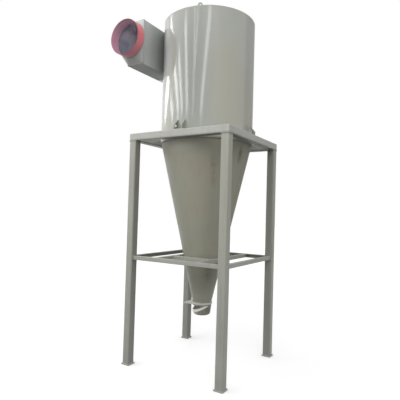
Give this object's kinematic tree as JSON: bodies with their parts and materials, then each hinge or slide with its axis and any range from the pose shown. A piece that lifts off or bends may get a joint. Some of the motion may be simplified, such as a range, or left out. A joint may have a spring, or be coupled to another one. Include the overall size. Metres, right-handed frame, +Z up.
{
  "type": "cyclone separator",
  "caption": "Cyclone dust separator: a cylinder over a long cone with a scroll inlet and a round red collar, on a square four-legged steel stand with a lower brace frame.",
  "frame": {"origin": "on the ground, at the middle of the bounding box; the cyclone axis stands 93.25 mm along +X and 57 mm along +Y from it", "axes": "+Z up; -Y is the side that the inlet collar faces; -X is the side that carries the inlet duct"},
  "size_m": [1.3524, 1.28, 3.637],
  "materials": {
    "body_paint": "gloss",
    "frame_paint": "gloss",
    "plate_paint": "satin",
    "spout_paint": "satin",
    "inner_steel": "satin",
    "red_paint": "satin"
  },
  "bodies": {
    "root": {"back_foot": "frame_paint", "back_left_beam": "frame_paint", "back_left_brace": "frame_paint", "back_left_lug": "frame_paint", "back_leg": "frame_paint", "back_lifting_eye": "frame_paint", "back_right_beam": "frame_paint", "back_right_brace": "frame_paint", "back_right_lug": "frame_paint", "cone_flange": "plate_paint", "cone_shell": "body_paint", "cone_ties": "frame_paint", "cylinder_shell": "body_paint", "dust_neck": "spout_paint", "dust_spout": "spout_paint", "front_foot": "frame_paint", "front_left_beam": "frame_paint", "front_left_brace": "frame_paint", "front_left_lug": "frame_paint", "front_leg": "frame_paint", "front_lifting_eye": "frame_paint", "front_right_beam": "frame_paint", "front_right_brace": "frame_paint", "front_right_lug": "frame_paint", "gas_outlet_flange": "body_paint", "gas_outlet_pipe": "body_paint", "head_shell": "body_paint", "inlet_collar": "red_paint", "inlet_duct": "body_paint", "inlet_transition": "body_paint", "left_cross_bar": "frame_paint", "left_foot": "frame_paint", "left_leg": "frame_paint", "left_lifting_eye": "frame_paint", "outlet_plate": "plate_paint", "right_cross_bar": "frame_paint", "right_foot": "frame_paint", "right_leg": "frame_paint", "right_lifting_eye": "frame_paint", "scroll_floor": "body_paint", "scroll_wall": "body_paint", "spout_flange": "plate_paint", "top_cover": "body_paint", "top_rim": "body_paint", "vortex_finder": "inner_steel"}
  },
  "joints": []
}
